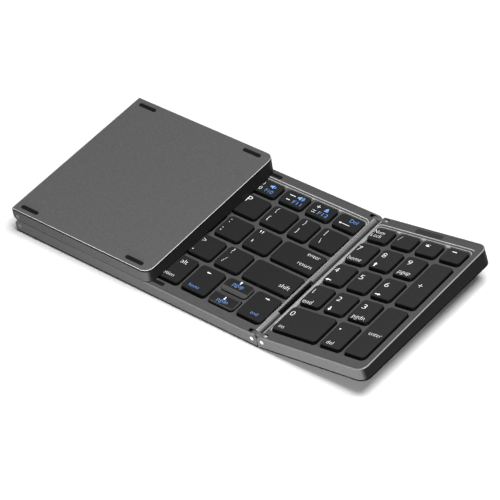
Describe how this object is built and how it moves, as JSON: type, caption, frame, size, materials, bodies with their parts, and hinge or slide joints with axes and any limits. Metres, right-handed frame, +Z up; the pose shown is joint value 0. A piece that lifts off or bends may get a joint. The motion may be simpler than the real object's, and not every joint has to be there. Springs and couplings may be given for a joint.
{
  "type": "folding keyboard",
  "caption": "Pocket keyboard in three wedge sections: the letter section folds over the middle one and the number section lifts and folds too, each on two-pin hinge links, with sprung keys.",
  "frame": {"origin": "centre of the footprint on the surface it stands on, at the feet's undersides", "axes": "+X along the length, from the letter section's fold to the free end of the number section; +Y from the front edge, nearest the user, to the back; +Z up"},
  "size_m": [0.2728, 0.1204, 0.0257],
  "materials": {
    "shell": "fine satin moulding, dark grey",
    "deck": "satin dark grey plate round the key well",
    "rail": "bead-blasted grey",
    "steel": "plain, lightly brushed",
    "keycap": "matt black with light legends",
    "rubber": "matt black pads",
    "mat": "moulded dome mat",
    "smoked": "smoked window",
    "cable": "black film",
    "cell": "foil pouch",
    "board": "green lacquer"
  },
  "bodies": {
    "base": {"base_case": "shell", "base_deck": "deck", "base_cover": "shell", "base_feet": "rubber", "base_deck_pads": "rubber", "base_key_mat": "mat", "base_hinge_rails": "rail", "flat_cables": "cable", "battery": "cell", "main_board": "board", "charging_socket": "steel"},
    "left_section": {"left_case": "shell", "left_deck": "deck", "left_cover": "shell", "left_feet": "rubber", "left_key_mat": "mat"},
    "right_section": {"right_case": "shell", "right_deck": "deck", "right_cover": "shell", "right_feet": "rubber", "right_key_mat": "mat", "indicator_window": "smoked"},
    "left_links": {"left_hinge_links": "steel", "left_hinge_pins": "steel"},
    "right_links": {"right_hinge_links": "steel", "right_hinge_pins": "steel"},
    "left_keys": {"left_keys": "keycap"},
    "base_covered_keys": {"base_covered_keys": "keycap"},
    "key_arrow_left": {"key_arrow_left": "keycap"},
    "key_arrow_down": {"key_arrow_down": "keycap"},
    "key_arrow_up": {"key_arrow_up": "keycap"},
    "key_arrow_right": {"key_arrow_right": "keycap"},
    "key_slash": {"key_slash": "keycap"},
    "key_shift": {"key_shift": "keycap"},
    "key_quote": {"key_quote": "keycap"},
    "key_enter": {"key_enter": "keycap"},
    "key_p": {"key_p": "keycap"},
    "key_bracket_left": {"key_bracket_left": "keycap"},
    "key_bracket_right": {"key_bracket_right": "keycap"},
    "key_backslash": {"key_backslash": "keycap"},
    "key_minus": {"key_minus": "keycap"},
    "key_equals": {"key_equals": "keycap"},
    "key_backspace": {"key_backspace": "keycap"},
    "pad_0": {"pad_0": "keycap"},
    "pad_point": {"pad_point": "keycap"},
    "pad_enter": {"pad_enter": "keycap"},
    "pad_1": {"pad_1": "keycap"},
    "pad_2": {"pad_2": "keycap"},
    "pad_3": {"pad_3": "keycap"},
    "pad_4": {"pad_4": "keycap"},
    "pad_5": {"pad_5": "keycap"},
    "pad_6": {"pad_6": "keycap"},
    "pad_plus": {"pad_plus": "keycap"},
    "pad_7": {"pad_7": "keycap"},
    "pad_8": {"pad_8": "keycap"},
    "pad_9": {"pad_9": "keycap"},
    "pad_num_lock": {"pad_num_lock": "keycap"},
    "pad_divide": {"pad_divide": "keycap"},
    "pad_multiply": {"pad_multiply": "keycap"},
    "pad_minus": {"pad_minus": "keycap"}
  },
  "joints": [
    {"name": "left_fold_inner", "type": "hinge", "parent": "base", "child": "left_links", "pos_m": [-0.13276, 0.0001, 0.0073], "axis": [0, -0.9998, -0.0217], "range_deg": [0, 90]},
    {"name": "left_fold_outer", "type": "hinge", "parent": "left_links", "child": "left_section", "pos_m": [-0.13276, -0.00006, 0.0149], "axis": [0, -0.9998, -0.0217], "range_deg": [0, 90]},
    {"name": "right_fold_inner", "type": "hinge", "parent": "base", "child": "right_links", "pos_m": [0.05264, 0.0001, 0.0073], "axis": [0, -0.9998, -0.0217], "range_deg": [-4.95, 85.05]},
    {"name": "right_fold_outer", "type": "hinge", "parent": "right_links", "child": "right_section", "pos_m": [0.06021, 0.00009, 0.00795], "axis": [0, -0.9998, -0.0217], "range_deg": [-4.95, 85.05]},
    {"name": "left_keys_press", "type": "slide", "parent": "left_section", "child": "left_keys", "axis": [0, -0.0217, 0.9998], "range_m": [0, 0.0015], "stiffness_N_per_m": 3600, "springref_m": -0.0005},
    {"name": "base_covered_keys_press", "type": "slide", "parent": "base", "child": "base_covered_keys", "axis": [0, 0.0217, -0.9998], "range_m": [0, 0.0015], "stiffness_N_per_m": 3900, "springref_m": -0.0005},
    {"name": "key_arrow_left_press", "type": "slide", "parent": "base", "child": "key_arrow_left", "axis": [0, 0.0217, -0.9998], "range_m": [0, 0.0015], "stiffness_N_per_m": 150, "springref_m": -0.0005},
    {"name": "key_arrow_down_press", "type": "slide", "parent": "base", "child": "key_arrow_down", "axis": [0, 0.0217, -0.9998], "range_m": [0, 0.0015], "stiffness_N_per_m": 150, "springref_m": -0.0005},
    {"name": "key_arrow_up_press", "type": "slide", "parent": "base", "child": "key_arrow_up", "axis": [0, 0.0217, -0.9998], "range_m": [0, 0.0015], "stiffness_N_per_m": 150, "springref_m": -0.0005},
    {"name": "key_arrow_right_press", "type": "slide", "parent": "base", "child": "key_arrow_right", "axis": [0, 0.0217, -0.9998], "range_m": [0, 0.0015], "stiffness_N_per_m": 150, "springref_m": -0.0005},
    {"name": "key_slash_press", "type": "slide", "parent": "base", "child": "key_slash", "axis": [0, 0.0217, -0.9998], "range_m": [0, 0.0015], "stiffness_N_per_m": 150, "springref_m": -0.0005},
    {"name": "key_shift_press", "type": "slide", "parent": "base", "child": "key_shift", "axis": [0, 0.0217, -0.9998], "range_m": [0, 0.0015], "stiffness_N_per_m": 150, "springref_m": -0.0005},
    {"name": "key_quote_press", "type": "slide", "parent": "base", "child": "key_quote", "axis": [0, 0.0217, -0.9998], "range_m": [0, 0.0015], "stiffness_N_per_m": 150, "springref_m": -0.0005},
    {"name": "key_enter_press", "type": "slide", "parent": "base", "child": "key_enter", "axis": [0, 0.0217, -0.9998], "range_m": [0, 0.0015], "stiffness_N_per_m": 150, "springref_m": -0.0005},
    {"name": "key_p_press", "type": "slide", "parent": "base", "child": "key_p", "axis": [0, 0.0217, -0.9998], "range_m": [0, 0.0015], "stiffness_N_per_m": 150, "springref_m": -0.0005},
    {"name": "key_bracket_left_press", "type": "slide", "parent": "base", "child": "key_bracket_left", "axis": [0, 0.0217, -0.9998], "range_m": [0, 0.0015], "stiffness_N_per_m": 150, "springref_m": -0.0005},
    {"name": "key_bracket_right_press", "type": "slide", "parent": "base", "child": "key_bracket_right", "axis": [0, 0.0217, -0.9998], "range_m": [0, 0.0015], "stiffness_N_per_m": 150, "springref_m": -0.0005},
    {"name": "key_backslash_press", "type": "slide", "parent": "base", "child": "key_backslash", "axis": [0, 0.0217, -0.9998], "range_m": [0, 0.0015], "stiffness_N_per_m": 150, "springref_m": -0.0005},
    {"name": "key_minus_press", "type": "slide", "parent": "base", "child": "key_minus", "axis": [0, 0.0217, -0.9998], "range_m": [0, 0.0015], "stiffness_N_per_m": 150, "springref_m": -0.0005},
    {"name": "key_equals_press", "type": "slide", "parent": "base", "child": "key_equals", "axis": [0, 0.0217, -0.9998], "range_m": [0, 0.0015], "stiffness_N_per_m": 150, "springref_m": -0.0005},
    {"name": "key_backspace_press", "type": "slide", "parent": "base", "child": "key_backspace", "axis": [0, 0.0217, -0.9998], "range_m": [0, 0.0015], "stiffness_N_per_m": 150, "springref_m": -0.0005},
    {"name": "pad_0_press", "type": "slide", "parent": "right_section", "child": "pad_0", "axis": [0.1719, 0.0213, -0.9849], "range_m": [0, 0.0015], "stiffness_N_per_m": 150, "springref_m": -0.0005},
    {"name": "pad_point_press", "type": "slide", "parent": "right_section", "child": "pad_point", "axis": [0.1719, 0.0213, -0.9849], "range_m": [0, 0.0015], "stiffness_N_per_m": 150, "springref_m": -0.0005},
    {"name": "pad_enter_press", "type": "slide", "parent": "right_section", "child": "pad_enter", "axis": [0.1719, 0.0213, -0.9849], "range_m": [0, 0.0015], "stiffness_N_per_m": 150, "springref_m": -0.0005},
    {"name": "pad_1_press", "type": "slide", "parent": "right_section", "child": "pad_1", "axis": [0.1719, 0.0213, -0.9849], "range_m": [0, 0.0015], "stiffness_N_per_m": 150, "springref_m": -0.0005},
    {"name": "pad_2_press", "type": "slide", "parent": "right_section", "child": "pad_2", "axis": [0.1719, 0.0213, -0.9849], "range_m": [0, 0.0015], "stiffness_N_per_m": 150, "springref_m": -0.0005},
    {"name": "pad_3_press", "type": "slide", "parent": "right_section", "child": "pad_3", "axis": [0.1719, 0.0213, -0.9849], "range_m": [0, 0.0015], "stiffness_N_per_m": 150, "springref_m": -0.0005},
    {"name": "pad_4_press", "type": "slide", "parent": "right_section", "child": "pad_4", "axis": [0.1719, 0.0213, -0.9849], "range_m": [0, 0.0015], "stiffness_N_per_m": 150, "springref_m": -0.0005},
    {"name": "pad_5_press", "type": "slide", "parent": "right_section", "child": "pad_5", "axis": [0.1719, 0.0213, -0.9849], "range_m": [0, 0.0015], "stiffness_N_per_m": 150, "springref_m": -0.0005},
    {"name": "pad_6_press", "type": "slide", "parent": "right_section", "child": "pad_6", "axis": [0.1719, 0.0213, -0.9849], "range_m": [0, 0.0015], "stiffness_N_per_m": 150, "springref_m": -0.0005},
    {"name": "pad_plus_press", "type": "slide", "parent": "right_section", "child": "pad_plus", "axis": [0.1719, 0.0213, -0.9849], "range_m": [0, 0.0015], "stiffness_N_per_m": 150, "springref_m": -0.0005},
    {"name": "pad_7_press", "type": "slide", "parent": "right_section", "child": "pad_7", "axis": [0.1719, 0.0213, -0.9849], "range_m": [0, 0.0015], "stiffness_N_per_m": 150, "springref_m": -0.0005},
    {"name": "pad_8_press", "type": "slide", "parent": "right_section", "child": "pad_8", "axis": [0.1719, 0.0213, -0.9849], "range_m": [0, 0.0015], "stiffness_N_per_m": 150, "springref_m": -0.0005},
    {"name": "pad_9_press", "type": "slide", "parent": "right_section", "child": "pad_9", "axis": [0.1719, 0.0213, -0.9849], "range_m": [0, 0.0015], "stiffness_N_per_m": 150, "springref_m": -0.0005},
    {"name": "pad_num_lock_press", "type": "slide", "parent": "right_section", "child": "pad_num_lock", "axis": [0.1719, 0.0213, -0.9849], "range_m": [0, 0.0015], "stiffness_N_per_m": 150, "springref_m": -0.0005},
    {"name": "pad_divide_press", "type": "slide", "parent": "right_section", "child": "pad_divide", "axis": [0.1719, 0.0213, -0.9849], "range_m": [0, 0.0015], "stiffness_N_per_m": 150, "springref_m": -0.0005},
    {"name": "pad_multiply_press", "type": "slide", "parent": "right_section", "child": "pad_multiply", "axis": [0.1719, 0.0213, -0.9849], "range_m": [0, 0.0015], "stiffness_N_per_m": 150, "springref_m": -0.0005},
    {"name": "pad_minus_press", "type": "slide", "parent": "right_section", "child": "pad_minus", "axis": [0.1719, 0.0213, -0.9849], "range_m": [0, 0.0015], "stiffness_N_per_m": 150, "springref_m": -0.0005}
  ],
  "couplings": [
    {"joint": "left_fold_outer", "follows": "left_fold_inner", "ratio": 1},
    {"joint": "right_fold_outer", "follows": "right_fold_inner", "ratio": 1}
  ]
}
